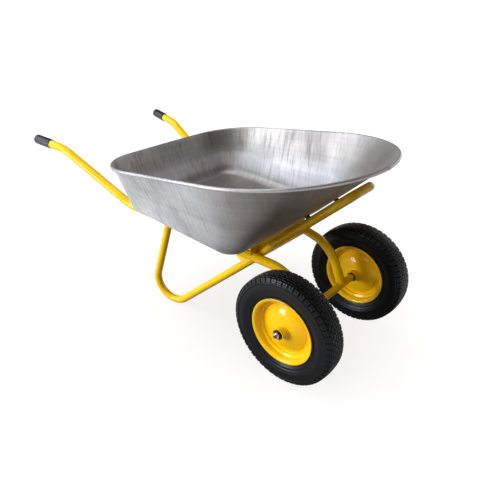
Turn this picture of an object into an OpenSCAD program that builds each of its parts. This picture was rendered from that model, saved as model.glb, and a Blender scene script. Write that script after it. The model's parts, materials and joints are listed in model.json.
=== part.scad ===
// Two wheel wheelbarrow: a drawn steel tray on a welded tube frame with two pneumatic wheels.
// Lengths are in millimetres. +X points forward, +Y to the left and +Z up.
// The ground is Z = 0, and the origin lies on it under the middle of the whole length.
// Places along the barrow are measured from the axle, so they are negative behind it.

/* [Wheels] */
// Outer diameter of a tyre
tyre_d = 374; // [364:1:390]
// Width of a tyre across its sidewalls
tyre_w = 78; // [76:1:88]
// Diameter over the flanges of a rim
rim_d = 226; // [220:1:230]
// Width over the flanges of a rim
rim_w = 64; // [62:1:68]
// Thickness of the pressed rim sheet
rim_t = 2; // [1.5:0.1:2.5]
// Distance between the middles of the two tyres
track = 442; // [424:1:480]
// Slots cut across each shoulder of a tread
lug_count = 54; // [36:1:60]
// Depth of the grooves in a tread
groove_depth = 5; // [3:0.5:6]

/* [Hub and axle] */
// Outer diameter of a hub tube
hub_d = 40; // [38.5:0.5:46]
// Length of a hub tube
hub_len = 90; // [80:1:96]
// Outer diameter of a wheel bearing
bearing_d = 35; // [30:1:36]
// Width of a wheel bearing
bearing_w = 11; // [9:1:14]
// Bore of a wheel bearing
bearing_bore = 15; // [12.5:0.5:18]
// Side of the square axle bar between the wheels
axle_d = 20; // [18:0.5:24]
// Thread diameter at the axle's ends
thread_d = 12; // [8:1:12]
// Thickness of the washer under each axle nut
axle_washer_t = 2.5; // [1.5:0.5:4]

/* [Frame] */
// Diameter of the two main tubes
tube_d = 32; // [28:0.5:35]
// Wall of the main tubes
tube_wall = 1.5; // [1:0.1:2.5]
// Distance from the axle back to the end of the grips
handle_reach = 1227; // [1150:1:1300]
// Distance between the ends of the two grips
handle_span = 612; // [560:2:640]
// Distance between the two main tubes at the axle
axle_span = 214; // [190:2:240]
// Height of the end of the grips
grip_h = 505; // [480:1:530]
// Height of the bend below the grips
handle_h = 497; // [470:1:520]
// Distance from the end of the grips to the bend below them
handle_bend_back = 158; // [137:1:187]
// Distance from the axle back to the knee where the run under the tray starts
knee_back = 742; // [735:1:760]
// Height of the knee
knee_h = 353; // [330:1:380]
// Distance from the axle back to the bend where a strut leaves the run
strut_back = 75; // [60:1:90]
// Height of the knee over the bend above a strut
strut_h = 41; // [33:1:53]
// Radius of the bend below the grips and of the knee
handle_bend_r = 200; // [120:5:240]
// Radius of the bend above a strut
strut_bend_r = 140; // [100:5:150]

/* [Legs and front loop] */
// Diameter of the tubes of the legs and the front loop
leg_d = 28; // [24:0.5:30]
// Wall of those tubes
leg_wall = 1.5; // [1:0.1:2.5]
// Distance from the axle back to the top of a leg's rear arm
leg_rear_back = 561; // [545:1:590]
// Distance from the axle back to the top of a leg's front arm
leg_front_back = 203; // [198:1:240]
// Distance from the axle back to the middle of the foot bend
foot_back = 542; // [500:1:560]
// Radius of the foot bend
foot_bend_r = 78; // [60:1:90]
// Angle at which a leg leans out from under its main tube
leg_splay = 2; // [0:0.5:4]
// Distance from the axle back to where the loop passes the main tubes
loop_back = 212; // [206:1:224]
// Length of the loop from there to its top bar
loop_len = 397; // [360:1:410]
// Length of the loop's arms below the main tubes
loop_tail = 16; // [5:1:25]
// Radius of the loop's two corners
loop_bend_r = 45; // [35:1:50]
// Rise of the loop from the level
loop_angle = 45.8; // [44.5:0.1:47]

/* [Tray] */
// Width of the tray between its walls at the rim
tray_w = 705; // [660:1:750]
// Distance from the axle forward to the front of the rim
rim_nose = 124; // [112:1:130]
// Distance from the axle back to the rear of the rim
rim_rear_back = 780; // [765:1:800]
// Radius of the rim's rear corners
rim_rear_r = 192; // [120:1:200]
// Height of the floor's underside over the top of the main tubes at the knee
floor_h = -2; // [-2:1:16]
// Width of the floor
floor_w = 544; // [500:2:570]
// Distance from the axle back to the front of the floor
floor_front_back = 202; // [196:1:212]
// Distance from the axle back to the rear of the floor
floor_rear_back = 705; // [680:1:730]
// Radius of the floor's front corners
floor_front_r = 62; // [45:1:80]
// Radius of the floor's rear corners
floor_rear_r = 62; // [45:1:80]
// Radius between the floor and the walls
floor_fillet = 40; // [25:1:50]
// Depth of the tray at the rear rim
rear_depth = 163; // [145:1:185]
// Slope of the rim, rising to the front
rim_tilt = 10.3; // [9:0.1:11.5]
// Thickness of the tray's sheet
sheet = 1.2; // [0.8:0.1:2]
// Diameter of the rolled rim
bead_d = 12; // [9:0.5:14]

/* [Grips and fasteners] */
// Outer diameter of a grip
grip_d = 37; // [36:0.5:42]
// Length of a grip
grip_len = 90; // [75:1:110]
// Reach of the two channel bars under the tray down over the main tubes
bar_skirt = 8; // [5:1:12]
// Width of those bars
bar_w = 30; // [28:1:40]
// Wall of those bars
bar_wall = 2; // [1.5:0.1:3]
// Distance from the axle back to the rear bar
rear_bar_back = 580; // [540:1:600]
// Distance from the axle back to the front bar
front_bar_back = 229; // [229:1:260]
// Distance between the two studs in a bar
bar_bolt_span = 220; // [160:2:240]
// Diameter of the tray's studs and bolts
bolt_d = 8; // [6:1:10]
// Distance along the loop from the main tubes to the front bolts
front_bolt_at = 239; // [200:1:260]
// Diameter of the spacers between the loop and the tray
spacer_d = 16; // [14:1:18]

/* [Hidden] */
$fn = 96;

yellow = [1.0, 0.78, 0.0];
zinc = [0.66, 0.68, 0.71];
black = [0.09, 0.09, 0.1];
bright = [0.8, 0.81, 0.83];
dark_steel = [0.25, 0.25, 0.27];

// Gap at a welded or pressed seat, running gap of a wheel, and room round a bolt
seat = 0.15;
fit_gap = 0.02;
run_gap = 0.05;
side_gap = 0.3;
hole_room = 0.5;
cut = 1;
// A tube swells a little where it is pressed round a bend, and its straights run into the bend
bend_swell = 0.05;
bend_lap = 1;

axle_h = tyre_d / 2;
axle_x = (handle_reach - tyre_d / 2) / 2;
yaw = atan2((handle_span - axle_span) / 2, handle_reach);
tube_r = tube_d / 2;
leg_r = leg_d / 2;

function unit(v) = v / norm(v);
function left_of(v) = [-v[1], v[0]];
function heading(v) = atan2(v[1], v[0]);
function ray(angle) = [cos(angle), sin(angle)];

// Distance of a main tube from the middle of the barrow, and distance along that tube
function tube_y(x) = axle_span / 2 - x * tan(yaw);
function along(x) = x / cos(yaw);

// Bent rods in the XY plane, through the points of a path with a bend radius at each inner point
function bend_angle(path, i) =
    let (a = unit(path[i] - path[i - 1]), b = unit(path[i + 1] - path[i]))
    atan2(a[0] * b[1] - a[1] * b[0], a * b);
function bend_setback(path, radii, i) =
    i == 0 || i == len(path) - 1 ? 0 : radii[i - 1] * tan(abs(bend_angle(path, i)) / 2);
function lengthened(path, more) =
    let (n = len(path) - 1)
    [for (i = [0:n])
        i == 0 ? path[0] + more * unit(path[0] - path[1]) :
        i == n ? path[n] + more * unit(path[n] - path[n - 1]) : path[i]];

module straight_rod(from, to, d) {
    translate([from[0], from[1], 0])
        rotate([0, 0, heading(to - from)])
            rotate([0, 90, 0])
                cylinder(h = norm(to - from), d = d);
}

module arc_rod(middle, r, start, sweep, d) {
    translate([middle[0], middle[1], 0])
        rotate([0, 0, start])
            rotate_extrude(angle = sweep)
                translate([r, 0])
                    circle(d = d + 2 * bend_swell);
}

module bent_rod(path, radii, d) {
    for (i = [0:len(path) - 2]) {
        way = unit(path[i + 1] - path[i]);
        straight_rod(path[i] + max(bend_setback(path, radii, i) - bend_lap, 0) * way,
                     path[i + 1] - max(bend_setback(path, radii, i + 1) - bend_lap, 0) * way, d);
    }
    for (i = [1:len(path) - 2]) {
        turn = bend_angle(path, i);
        way = unit(path[i] - path[i - 1]);
        inward = sign(turn) * left_of(way);
        arc_rod(path[i] - bend_setback(path, radii, i) * way + radii[i - 1] * inward, radii[i - 1],
                heading(-inward) + min(turn, 0), abs(turn), d);
    }
}

module bent_tube(path, radii, d, wall) {
    difference() {
        bent_rod(path, radii, d);
        bent_rod(lengthened(path, cut), radii, d - 2 * wall);
    }
}

// Placing: from the axle, on the left or the right, in the upright plane of a main tube
module from_axle() {
    translate([axle_x, 0, 0])
        children();
}

module on_side(left) {
    if (left) children();
    else mirror([0, 1, 0]) children();
}

module in_tube_plane() {
    translate([0, axle_span / 2, 0])
        rotate([0, 0, -yaw])
            rotate([90, 0, 0])
                children();
}

module across(y, z, length, d) {
    translate([0, y, z])
        rotate([-90, 0, 0])
            cylinder(h = length, d = d);
}

// Main tubes: grip end, handle bend, knee, run under the tray, strut bend and strut down to the axle
grip_end_wall = 5;
grip_point = [along(-handle_reach), grip_h];
bend_point = [along(handle_bend_back - handle_reach), handle_h];
run_start = [along(-knee_back), knee_h];
run_end = [along(-strut_back), knee_h - strut_h];
run_pitch = heading(run_end - run_start);
function run_at(x) = knee_h - strut_h * (x + knee_back) / (knee_back - strut_back);
tube_path = [grip_point + grip_end_wall * unit(bend_point - grip_point), bend_point,
             run_start, run_end, [0, axle_h]];
knee_turn = abs(heading(run_end - run_start) - heading(run_start - bend_point));
bend_turn = abs(heading(run_start - bend_point) - heading(bend_point - grip_point));
handle_room = norm(run_start - bend_point) / (tan(knee_turn / 2) + tan(bend_turn / 2));
handle_r = min(handle_bend_r, 0.95 * handle_room);
tube_radii = [handle_r, handle_r, strut_bend_r];

module main_tube(left) {
    color(yellow)
        from_axle() on_side(left)
            difference() {
                in_tube_plane() bent_tube(tube_path, tube_radii, tube_d, tube_wall);
                translate([-axle_span, 0, 0])
                    cube([2 * axle_span, axle_span, axle_h + axle_d / 2 + seat]);
            }
}

// Grips: a plain sleeve with a rounded closed end and a softened open end
grip_round = 9;
grip_lip = 1.5;

module grip(left) {
    r = grip_d / 2;
    bore = tube_r + seat;
    color(black)
        from_axle() on_side(left) in_tube_plane()
            translate([grip_point[0], grip_point[1], 0])
                rotate([0, 0, heading(bend_point - grip_point)]) rotate([0, 90, 0])
                    rotate_extrude()
                        polygon(concat(
                            [[0, 0]],
                            [for (a = [-90:15:0]) [r - grip_round, grip_round] + grip_round * ray(a)],
                            [[r, grip_len - grip_lip], [r - grip_lip, grip_len], [bore, grip_len],
                             [bore, grip_end_wall], [0, grip_end_wall]]));
}

// Legs: two arms tangent to the foot bend, hung under the run of a main tube
foot_lift = (run_at(-foot_back) - leg_r) * (1 / cos(leg_splay) - 1);
foot_middle = [along(-foot_back), foot_bend_r + leg_r + bend_swell - foot_lift];
leg_rear_top = [along(-leg_rear_back), run_at(-leg_rear_back)];
leg_front_top = [along(-leg_front_back), run_at(-leg_front_back)];
function touch_angle(point, side) =
    let (v = point - foot_middle)
    heading(v) + side * acos(foot_bend_r / norm(v));
leg_rear_touch = touch_angle(leg_rear_top, 1);
leg_front_touch = touch_angle(leg_front_top, -1) + 360;

module leg_rod(d, more) {
    rear_foot = foot_middle + foot_bend_r * ray(leg_rear_touch);
    front_foot = foot_middle + foot_bend_r * ray(leg_front_touch);
    rear_way = unit(leg_rear_top - rear_foot);
    front_way = unit(leg_front_top - front_foot);
    straight_rod(leg_rear_top + more * rear_way, rear_foot - bend_lap * rear_way, d);
    arc_rod(foot_middle, foot_bend_r, leg_rear_touch, leg_front_touch - leg_rear_touch, d);
    straight_rod(front_foot - bend_lap * front_way, leg_front_top + more * front_way, d);
}

// Leans a leg outwards about the axis of the run
module leaning() {
    translate(run_start)
        rotate([0, 0, run_pitch]) rotate([leg_splay, 0, 0]) rotate([0, 0, -run_pitch])
            translate(-run_start)
                children();
}

module leg(left) {
    color(yellow)
        from_axle() on_side(left) in_tube_plane() leaning()
            difference() {
                leg_rod(leg_d, 0);
                leg_rod(leg_d - 2 * leg_wall, cut);
                straight_rod(run_start, run_end, tube_d + 2 * seat);
            }
}

// Front loop: a U of tube beside the main tubes, rising under the front wall of the tray
loop_half = tube_y(-loop_back) - (tube_r + leg_r + seat) / cos(yaw);
arm_turn = atan(cos(loop_angle) * tan(yaw));
function arm_y(at) = loop_half - at * cos(loop_angle) * tan(yaw);
loop_path = [[-loop_tail, -arm_y(-loop_tail)], [loop_len, -arm_y(loop_len)],
             [loop_len, arm_y(loop_len)], [-loop_tail, arm_y(-loop_tail)]];

module on_loop() {
    translate([-loop_back, 0, run_at(-loop_back)])
        rotate([0, -loop_angle, 0])
            children();
}

module front_loop() {
    color(yellow)
        from_axle() on_loop()
            difference() {
                bent_tube(loop_path, [loop_bend_r, loop_bend_r], leg_d, leg_wall);
                for (side = [-1, 1])
                    translate([front_bolt_at, side * arm_y(front_bolt_at), 0])
                        cylinder(h = leg_d, d = insert_d + 2 * seat);
            }
}

// Axle: a square bar under the struts, with a spindle and a threaded end for each wheel
hub_half = hub_len / 2;
spindle_d = bearing_bore - 2 * run_gap;
shoulder_y = track / 2 - hub_half - side_gap;
washer_y = track / 2 + hub_half + side_gap;
axle_nut_h = 0.85 * thread_d;
thread_end = 4;
axle_end_y = washer_y + axle_washer_t + axle_nut_h + thread_end;

module axle_beam() {
    color(yellow)
        from_axle() {
            translate([-axle_d / 2, -shoulder_y, axle_h - axle_d / 2])
                cube([axle_d, 2 * shoulder_y, axle_d]);
            across(-washer_y, axle_h, 2 * washer_y, spindle_d);
            across(-axle_end_y, axle_h, 2 * axle_end_y, thread_d);
        }
}

module hex_nut(d, h) {
    difference() {
        cylinder(h = h, d = 1.83 * d, $fn = 6);
        translate([0, 0, -cut])
            cylinder(h = h + 2 * cut, d = d + 2 * seat);
    }
}

module flat_washer(d, outer, t) {
    difference() {
        cylinder(h = t, d = outer);
        translate([0, 0, -cut])
            cylinder(h = t + 2 * cut, d = d + 2 * seat);
    }
}

module axle_washers() {
    color(dark_steel)
        from_axle()
            for (left = [true, false])
                on_side(left)
                    translate([0, washer_y, axle_h]) rotate([-90, 0, 0])
                        flat_washer(thread_d, 2.15 * thread_d, axle_washer_t);
}

module axle_nuts() {
    color(bright)
        from_axle()
            for (left = [true, false])
                on_side(left)
                    translate([0, washer_y + axle_washer_t, axle_h]) rotate([-90, 0, 0])
                        hex_nut(thread_d, axle_nut_h);
}

// Tray: straight wall lines join a rounded floor to the rim, which slopes up to a half round front
rim_half_w = tray_w / 2;
floor_half_w = floor_w / 2;
floor_z = knee_h + tube_r + floor_h;
function rim_z(x) = floor_z + rear_depth + tan(rim_tilt) * (x + rim_rear_back);

// Stations on the left, from the front to the rear: [floor point, rim point]
front_steps = 24;
rear_steps = 12;
function station(floor_middle, floor_r, rim_middle, rim_r, angle) =
    [floor_middle + floor_r * ray(angle), rim_middle + rim_r * ray(angle)];
left_stations = concat(
    [for (i = [0:front_steps - 1])
        station([-floor_front_back - floor_front_r, floor_half_w - floor_front_r], floor_front_r,
                [rim_nose - rim_half_w, 0], rim_half_w, 90 * (i + 0.5) / (front_steps - 0.5))],
    [for (i = [0:rear_steps])
        station([-floor_rear_back + floor_rear_r, floor_half_w - floor_rear_r], floor_rear_r,
                [-rim_rear_back + rim_rear_r, rim_half_w - rim_rear_r], rim_rear_r,
                90 + 90 * i / rear_steps)]);
stations = concat(
    left_stations,
    [for (i = [len(left_stations) - 1:-1:0])
        let (s = left_stations[i])
        [[s[0][0], -s[0][1]], [s[1][0], -s[1][1]]]]);

// Section of the sheet at a station, as [run outwards, rise] from the floor point:
// inside of the floor fillet, inside of the wall, the rolled rim, then down the outside
fillet_steps = 5;
bead_steps = 9;
bead_sweep = 285;
function fillet_line(slope, r, lift) =
    let (back = floor_fillet * tan(slope / 2))
    [for (i = [0:fillet_steps])
        let (a = slope * i / fillet_steps)
        [-back + r * sin(a), lift + r * (1 - cos(a))]];
function reversed(list) = [for (i = [len(list) - 1:-1:0]) list[i]];
function section(s) =
    let (top = [norm(s[1] - s[0]), rim_z(s[1][0]) - floor_z],
         slope = heading(top),
         up = ray(slope),
         out = [up[1], -up[0]],
         inside = top - sheet * out,
         middle = inside + bead_d / 2 * out)
    concat(fillet_line(slope, floor_fillet - sheet, sheet),
           [for (i = [0:bead_steps])
               let (a = bead_sweep * i / bead_steps)
               middle + bead_d / 2 * (sin(a) * up - cos(a) * out)],
           [top],
           reversed(fillet_line(slope, floor_fillet, 0)));
function placed(s, p) =
    let (out = unit(s[1] - s[0]))
    [s[0][0] + p[0] * out[0], s[0][1] + p[0] * out[1], floor_z + p[1]];

module tray_shell() {
    rows = [for (s = stations) [for (p = section(s)) placed(s, p)]];
    n = len(rows);
    m = len(rows[0]);
    polyhedron(
        points = [for (row = rows) each row],
        faces = concat(
            [for (i = [0:n - 1], j = [0:m - 2])
                let (k = (i + 1) % n)
                each [[i * m + j, k * m + j + 1, i * m + j + 1], [i * m + j, k * m + j, k * m + j + 1]]],
            [[for (i = [n - 1:-1:0]) i * m]],
            [[for (i = [0:n - 1]) i * m + m - 1]]));
}

module tray() {
    color(zinc)
        from_axle()
            difference() {
                tray_shell();
                at_front_bolts()
                    translate([0, 0, wall_at - 4 * bolt_d])
                        cylinder(h = 8 * bolt_d, d = bolt_d + hole_room);
            }
}

// Cross bars: channels open below, notched over the main tubes and the loop, that carry the floor
module cross_bar(back) {
    half = tube_y(-back) + 0.7 * tube_r;
    height = floor_z - run_at(-back) - tube_r + bar_skirt;
    color(yellow)
        from_axle()
            difference() {
                translate([-back - bar_w / 2, -half, floor_z - height])
                    cube([bar_w, 2 * half, height]);
                translate([-back - bar_w / 2 + bar_wall, -half - cut, floor_z - height - cut])
                    cube([bar_w - 2 * bar_wall, 2 * half + 2 * cut, height - bar_wall + cut]);
                for (left = [true, false])
                    on_side(left) {
                        in_tube_plane() straight_rod(run_start, run_end, tube_d + 2 * seat);
                        on_loop() straight_rod(loop_path[3], loop_path[2], leg_d + 2 * seat);
                    }
                at_tray_studs()
                    translate([0, 0, -bar_wall - cut])
                        cylinder(h = bar_wall + 2 * cut, d = bolt_d + hole_room);
            }
}

module at_tray_studs() {
    for (back = [front_bar_back, rear_bar_back], side = [-1, 1])
        translate([-back, side * bar_bolt_span / 2, floor_z])
            children();
}

// Tray studs: welded under the floor, with washers and nuts inside the channels
head_d = 2.1 * bolt_d;
head_h = 0.5 * bolt_d;
nut_h = 0.8 * bolt_d;
washer_t = 0.2 * bolt_d;
bolt_tail = 0.4 * bolt_d;

module domed_bolt(grip_length) {
    rise = head_h;
    dome_r = (pow(head_d / 2, 2) + rise * rise) / (2 * rise);
    intersection() {
        translate([0, 0, rise - dome_r]) sphere(r = dome_r);
        cylinder(h = rise + cut, d = head_d);
    }
    translate([0, 0, -grip_length])
        cylinder(h = grip_length + rise / 2, d = bolt_d);
}

module tray_studs() {
    length = bar_wall + washer_t + nut_h + bolt_tail;
    color(bright)
        from_axle() at_tray_studs()
            translate([0, 0, -length])
                cylinder(h = length - seat, d = bolt_d);
}

module tray_washers() {
    color(bright)
        from_axle() at_tray_studs()
            translate([0, 0, -bar_wall - washer_t])
                flat_washer(bolt_d, head_d, washer_t);
}

module tray_nuts() {
    color(bright)
        from_axle() at_tray_studs()
            translate([0, 0, -bar_wall - washer_t - nut_h])
                hex_nut(bolt_d, nut_h);
}

// Front bolts: square to the loop, from the axis of an arm to the front wall, which they meet at wall_at
wall_slope = (rim_z(rim_nose) - floor_z) / (rim_nose + floor_front_back);
bolt_foot = [-loop_back + front_bolt_at * cos(loop_angle),
             run_at(-loop_back) + front_bolt_at * sin(loop_angle)];
wall_at = (wall_slope * (bolt_foot[0] + floor_front_back) - (bolt_foot[1] - floor_z))
          / (cos(loop_angle) + wall_slope * sin(loop_angle));

// Room for the tilt of the wall against the loop, and the threaded inserts in the loop's arms
wall_room = 0.3;
insert_d = 1.25 * bolt_d;
insert_len = 1.5 * bolt_d;
insert_drop = 1.1;
insert_low = leg_r - insert_drop - insert_len;

module at_front_bolts() {
    for (side = [-1, 1])
        on_loop()
            translate([front_bolt_at, side * arm_y(front_bolt_at), 0])
                rotate([0, 0, -side * arm_turn])
                    children();
}

module front_bolts() {
    color(bright)
        from_axle() at_front_bolts()
            translate([0, 0, wall_at + sheet + wall_room])
                domed_bolt(wall_at + sheet + wall_room - insert_low + 1);
}

module front_spacers() {
    color(black)
        from_axle() at_front_bolts()
            difference() {
                cylinder(h = wall_at - wall_room, d = spacer_d);
                translate([0, 0, -cut])
                    cylinder(h = wall_at + cut, d = bolt_d + 2 * seat);
                rotate([0, 90, 0])
                    translate([0, 0, -spacer_d])
                        cylinder(h = 2 * spacer_d, d = leg_d + 2 * seat);
            }
}

module front_inserts() {
    color(bright)
        from_axle() at_front_bolts()
            translate([0, 0, insert_low])
                flat_washer(bolt_d, insert_d, insert_len);
}

// Wheels: profiles are [radius, distance outwards from the middle of the tyre]
module at_wheel(left) {
    from_axle() on_side(left)
        translate([0, track / 2, axle_h])
            rotate([-90, 0, 0])
                children();
}

// A sheet of even thickness to the left of a line
function corner_normal(line, i) =
    let (n = len(line) - 1,
         a = unit(line[min(i, n - 1) + 1] - line[min(i, n - 1)]),
         b = unit(line[max(i, 1)] - line[max(i, 1) - 1]),
         m = unit(left_of(a) + left_of(b)))
    m / (m * left_of(a));
function sheet_outline(line, t) =
    concat(line, [for (i = [len(line) - 1:-1:0]) line[i] + t * corner_normal(line, i)]);

// Rim halves: flange, bead seat, well, welded ring, and a dome out to the hub
flange_h = 11;
seat_w = 6;
well_drop = 10;
well_slope = 4;
ring_h = 10;
dome_steps = 9;
rim_r = rim_d / 2;
rim_half = rim_w / 2;
bead_r = rim_r - flange_h;
well_r = bead_r - rim_t - well_drop;
ring_r = well_r - ring_h;
ring_face = rim_t + fit_gap;
dome_h = 20;
dome_r = hub_d / 2 + fit_gap;
rim_line = concat(
    [for (a = [0:15:90]) [rim_r - (flange_h + rim_t) * sin(a), rim_half - (flange_h + rim_t) * (1 - cos(a))]],
    [[bead_r - rim_t, rim_half - flange_h - rim_t - seat_w],
     [well_r, rim_half - flange_h - rim_t - seat_w - well_slope],
     [well_r, ring_face]],
    [for (i = [0:dome_steps])
        let (k = i / dome_steps)
        [ring_r + k * (dome_r - ring_r), ring_face + dome_h * sin(90 * pow(k, 0.8))]]);

module rim_half_shell() {
    rotate_extrude()
        polygon(sheet_outline(rim_line, rim_t));
}

valve_turn = 45;
valve_w = ring_face + 5;
valve_d = 5.5;
valve_cap_d = 7;
valve_cap_h = 9;

module at_valve() {
    rotate([0, 0, -valve_turn])
        translate([0, 0, valve_w])
            rotate([0, 90, 0])
                children();
}

module outer_rim(left) {
    color(yellow)
        at_wheel(left)
            difference() {
                rim_half_shell();
                at_valve() cylinder(h = bead_r, d = valve_d + 2 * seat);
            }
}

module inner_rim(left) {
    color(yellow)
        at_wheel(left)
            mirror([0, 0, 1]) rim_half_shell();
}

module hub(left) {
    bore = bearing_d + 2 * fit_gap;
    step = bearing_d - 4;
    color(yellow)
        at_wheel(left)
            difference() {
                translate([0, 0, -hub_half]) cylinder(h = hub_len, d = hub_d);
                translate([0, 0, -hub_len]) cylinder(h = 2 * hub_len, d = step);
                for (end = [0, 1])
                    mirror([0, 0, end])
                        translate([0, 0, hub_half - bearing_w]) cylinder(h = 2 * bearing_w, d = bore);
            }
}

// Bearings: inner and outer rings with a recessed shield between them on both faces
module bearing(left, end) {
    ring_t = 0.2 * (bearing_d - bearing_bore) / 2;
    recess = 0.8;
    color(dark_steel)
        at_wheel(left) mirror([0, 0, end])
            translate([0, 0, hub_half - bearing_w])
                difference() {
                    cylinder(h = bearing_w, d = bearing_d);
                    translate([0, 0, -cut]) cylinder(h = bearing_w + 2 * cut, d = bearing_bore);
                    for (z = [-cut, bearing_w - recess])
                        translate([0, 0, z])
                            difference() {
                                cylinder(h = recess + cut, d = bearing_d - 2 * ring_t);
                                translate([0, 0, -cut])
                                    cylinder(h = recess + 3 * cut, d = bearing_bore + 2 * ring_t);
                            }
                }
}

// Tyres: sidewalls from the bead to the shoulder, a crowned tread with grooves, and a hollow inside
tyre_r = tyre_d / 2;
tyre_half = tyre_w / 2;
shoulder_drop = 9;
shoulder_w = 0.83 * tyre_half;
crown_drop = 3;
side_t = 5;
tread_t = 7;
bead_base = bead_r + seat;
flange_r = flange_h - seat;
flange_w = rim_half - flange_h - rim_t;
bead_out = flange_w + flange_r;
bead_in = flange_w - seat_w + 1;
belly_r = (tyre_r + rim_r) / 2;
groove_w = 3.6;
groove_places = [0.22, 0.6];
function crown_r(w) = tyre_r - crown_drop * pow(w / shoulder_w, 2);
function side_curve(a) =
    let (low = rim_r + 3, high = tyre_r - shoulder_drop,
         r = a < 0 ? belly_r + (belly_r - low) * sin(a) : belly_r + (high - belly_r) * sin(a),
         reach = a < 0 ? tyre_half - bead_out : tyre_half - shoulder_w - 2)
    [r, tyre_half - reach * (1 - cos(a))];
tyre_side = concat(
    [[bead_base, bead_in]],
    [for (a = [90:-15:0]) [rim_r - flange_r * sin(a), flange_w + flange_r * cos(a)]],
    [for (a = [-90:15:90]) side_curve(a)],
    [[crown_r(shoulder_w), shoulder_w]]);
tyre_tread = [for (k = [1, 0])
    let (w = groove_places[k] * shoulder_w)
    each [[crown_r(w), w + groove_w / 2], [crown_r(w) - groove_depth, w + groove_w / 4],
          [crown_r(w) - groove_depth, w - groove_w / 4], [crown_r(w), w - groove_w / 2]]];
cavity_top = tyre_r - groove_depth - tread_t;
cavity_low = rim_r;
cavity_r = (cavity_top + cavity_low) / 2;
tyre_cavity =
    [for (a = [-90:15:90])
        [cavity_r + (cavity_top - cavity_low) / 2 * sin(a),
         max(a == -90 ? bead_in : (tyre_half - side_t) * pow(cos(a), 0.6), 0.01)]];

function mirrored(line) = [for (i = [len(line) - 1:-1:0]) [line[i][0], -line[i][1]]];
tyre_half_line = concat(tyre_side, tyre_tread);
tyre_outline = concat(tyre_half_line, mirrored(tyre_half_line));
hollow_line = concat([[bead_base - cut, bead_in]], tyre_cavity);

module tyre_slots() {
    length = 0.3 * tyre_w;
    for (i = [0:lug_count - 1], end = [0, 1])
        mirror([0, 0, end])
            rotate([0, 0, 360 * (i + end / 2) / lug_count])
                translate([crown_r(shoulder_w) - groove_depth, 0, shoulder_w])
                    rotate([12, 0, 0])
                        translate([0, -groove_w / 2, -0.3 * length])
                            cube([3 * groove_depth, groove_w, length]);
}

module tyre(left) {
    color(black)
        at_wheel(left)
            difference() {
                rotate_extrude() polygon(tyre_outline);
                rotate_extrude() polygon(concat(hollow_line, mirrored(hollow_line)));
                tyre_slots();
            }
}

// Inner tubes: a round air tube inside the tyre, over the well of the rim
module inner_tube(left) {
    tube_t = 2;
    r_half = (cavity_top - cavity_low) / 2 - 1;
    w_half = tyre_half - side_t - 4;
    color(black)
        at_wheel(left)
            rotate_extrude()
                difference() {
                    polygon([for (a = [0:15:345]) [cavity_r + r_half * sin(a), w_half * cos(a)]]);
                    polygon([for (a = [0:15:345])
                        [cavity_r + (r_half - tube_t) * sin(a), (w_half - tube_t) * cos(a)]]);
                }
}

// Valves: a stem from the inner tube through the well, with a cap in the dish of the rim
module valve(left) {
    color(black)
        at_wheel(left) at_valve() {
            translate([0, 0, well_r - valve_cap_h])
                cylinder(h = cavity_low + 1 - well_r + valve_cap_h - side_gap, d = valve_d);
            translate([0, 0, well_r - valve_cap_h - 3])
                cylinder(h = valve_cap_h, d = valve_cap_d);
        }
}

tray();
main_tube(true);  // left_main_tube
main_tube(false);  // right_main_tube
leg(true);  // left_leg
leg(false);  // right_leg
front_loop();
axle_beam();
cross_bar(front_bar_back);  // front_bar
cross_bar(rear_bar_back);  // rear_bar
grip(true);  // left_grip
grip(false);  // right_grip
tray_studs();
tray_washers();
tray_nuts();
front_bolts();
front_spacers();
front_inserts();
axle_washers();
axle_nuts();
tyre(true);  // left_tyre
inner_tube(true);  // left_inner_tube
outer_rim(true);  // left_outer_rim
inner_rim(true);  // left_inner_rim
hub(true);  // left_hub
bearing(true, 0);  // left_outer_bearing
bearing(true, 1);  // left_inner_bearing
valve(true);  // left_valve
tyre(false);  // right_tyre
inner_tube(false);  // right_inner_tube
outer_rim(false);  // right_outer_rim
inner_rim(false);  // right_inner_rim
hub(false);  // right_hub
bearing(false, 0);  // right_outer_bearing
bearing(false, 1);  // right_inner_bearing
valve(false);  // right_valve
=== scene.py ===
import json
import math
import bmesh
import bpy
import numpy as np
from mathutils import Matrix, Vector


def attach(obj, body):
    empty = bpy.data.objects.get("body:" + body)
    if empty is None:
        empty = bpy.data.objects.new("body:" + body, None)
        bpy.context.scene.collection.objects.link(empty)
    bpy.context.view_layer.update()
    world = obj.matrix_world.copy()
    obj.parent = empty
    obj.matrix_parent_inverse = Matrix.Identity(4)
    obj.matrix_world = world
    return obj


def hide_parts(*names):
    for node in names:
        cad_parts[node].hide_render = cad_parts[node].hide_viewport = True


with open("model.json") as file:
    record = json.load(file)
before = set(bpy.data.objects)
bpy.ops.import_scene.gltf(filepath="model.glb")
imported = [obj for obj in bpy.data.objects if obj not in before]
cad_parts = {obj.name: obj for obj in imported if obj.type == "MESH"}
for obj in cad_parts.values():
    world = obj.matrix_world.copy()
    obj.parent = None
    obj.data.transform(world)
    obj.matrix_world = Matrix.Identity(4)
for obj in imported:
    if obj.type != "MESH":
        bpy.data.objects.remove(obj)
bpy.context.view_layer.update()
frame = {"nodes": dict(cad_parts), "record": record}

# Sizes in millimetres, with places along the part measured from the axle
MM = 0.001
SEAT = 0.15
SIDES = (("left", 1), ("right", -1))

# Axle and wheels
AXLE_X = 520.0
AXLE_H = 187.0
AXLE_BAR_HALF = 10.0
TRACK_HALF = 221.0
TYRE_R = 187.0
TYRE_HALF = 39.0
RIM_R = 113.0
RIM_HALF = 32.0
RIM_T = 2.0
FLANGE = 11.0
HUB_R = 20.0
HUB_HALF = 45.0
HUB_ROOM = 0.3
DOME_H = 20.0
AXLE_WASHER_T = 2.5
AXLE_NUT_H = 10.2
RIM_STEPS = 144
NUT_STEPS = 96

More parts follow.
